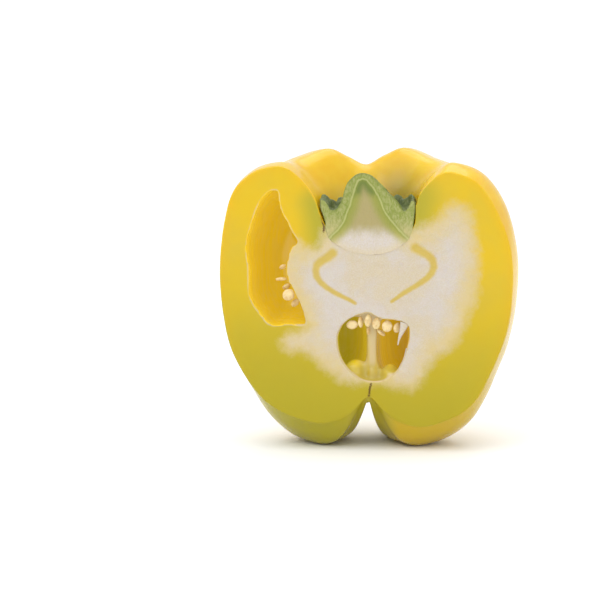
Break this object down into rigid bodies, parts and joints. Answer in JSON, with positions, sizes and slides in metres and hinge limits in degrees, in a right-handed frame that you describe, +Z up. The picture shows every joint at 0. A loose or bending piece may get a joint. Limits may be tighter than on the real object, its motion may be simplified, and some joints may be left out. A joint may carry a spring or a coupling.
{
  "type": "halved bell pepper",
  "caption": "Bell pepper cut lengthwise through its stalk, standing on its lobes, with open seed chambers in a thick wall and a green calyx set in the top",
  "frame": {"origin": "middle of the half's box at floor level, under the lobes it stands on", "axes": "+Z up along the stalk, +X to the right across the cut face seen from the front, +Y from the cut face back into the lobes"},
  "size_m": [0.091, 0.0444, 0.0913],
  "materials": {
    "flesh": "satin",
    "calyx": "matte",
    "seed": "satin"
  },
  "bodies": {
    "root": {"flesh": "flesh", "calyx": "calyx", "seed_side_1": "seed", "seed_side_2": "seed", "seed_side_3": "seed", "seed_side_4": "seed", "seed_side_5": "seed", "seed_middle_1": "seed", "seed_middle_2": "seed", "seed_middle_3": "seed", "seed_middle_4": "seed", "seed_middle_5": "seed", "seed_middle_6": "seed", "seed_middle_7": "seed", "seed_middle_8": "seed"}
  },
  "joints": []
}
